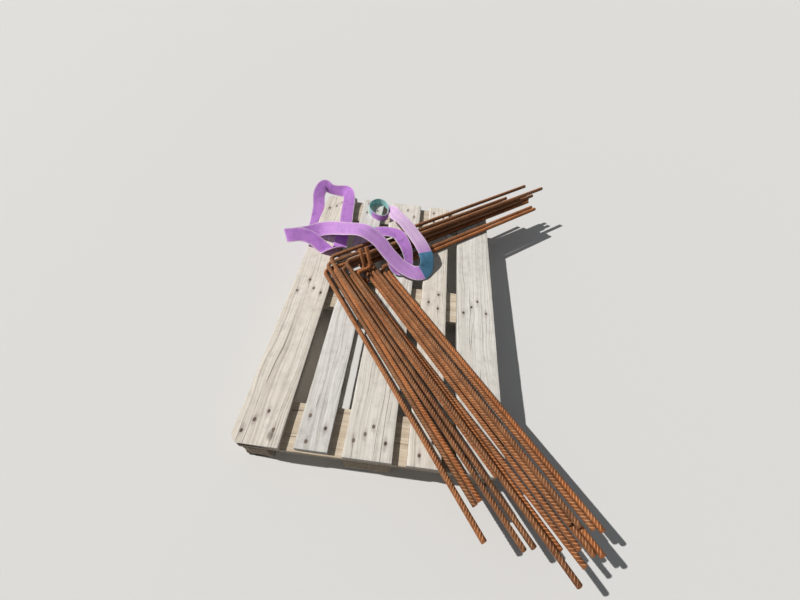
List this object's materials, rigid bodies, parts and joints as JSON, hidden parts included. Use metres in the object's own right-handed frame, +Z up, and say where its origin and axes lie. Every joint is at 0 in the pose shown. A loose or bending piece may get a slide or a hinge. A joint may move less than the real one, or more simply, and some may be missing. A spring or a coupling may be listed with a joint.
{
  "type": "rebar bundle",
  "caption": "Loose bundle of bent ribbed reinforcing bars lying nested on a flat wooden pallet, with a webbing lifting sling thrown over the bends.",
  "frame": {"origin": "middle of the pallet's underside, on the floor", "axes": "+Z up, +Y along the pallet's 1200 mm side, +X across it; the bars' long legs point to +X and -Y and their short legs to +X and +Y"},
  "size_m": [1.2061, 1.6184, 0.2823],
  "materials": {
    "rusted_steel": "rusted all over, rough",
    "pallet_wood": "weathered grey, rough sawn",
    "sling_web": "woven webbing, soiled"
  },
  "bodies": {
    "root": {"bar_deck_1": "rusted_steel", "bar_deck_2": "rusted_steel", "bar_deck_3": "rusted_steel", "bar_deck_4": "rusted_steel", "bar_deck_5": "rusted_steel", "bar_deck_6": "rusted_steel", "bar_hooked_high": "rusted_steel", "bar_hooked_low": "rusted_steel", "bar_second_1": "rusted_steel", "bar_second_2": "rusted_steel", "bar_second_3": "rusted_steel", "bar_small_hook": "rusted_steel", "bar_third_1": "rusted_steel", "bar_third_2": "rusted_steel", "bar_top_1": "rusted_steel", "bar_top_2": "rusted_steel", "block_far_left": "pallet_wood", "block_far_middle": "pallet_wood", "block_far_right": "pallet_wood", "block_middle_left": "pallet_wood", "block_middle_middle": "pallet_wood", "block_middle_right": "pallet_wood", "block_near_left": "pallet_wood", "block_near_middle": "pallet_wood", "block_near_right": "pallet_wood", "bottom_board_left": "pallet_wood", "bottom_board_middle": "pallet_wood", "bottom_board_right": "pallet_wood", "cross_board_far": "pallet_wood", "cross_board_middle": "pallet_wood", "cross_board_near": "pallet_wood", "deck_board_left": "pallet_wood", "deck_board_left_inner": "pallet_wood", "deck_board_middle": "pallet_wood", "deck_board_right": "pallet_wood", "deck_board_right_inner": "pallet_wood", "sling_back": "sling_web", "sling_eye_far": "sling_web", "sling_eye_near": "sling_web", "sling_front": "sling_web"}
  },
  "joints": []
}
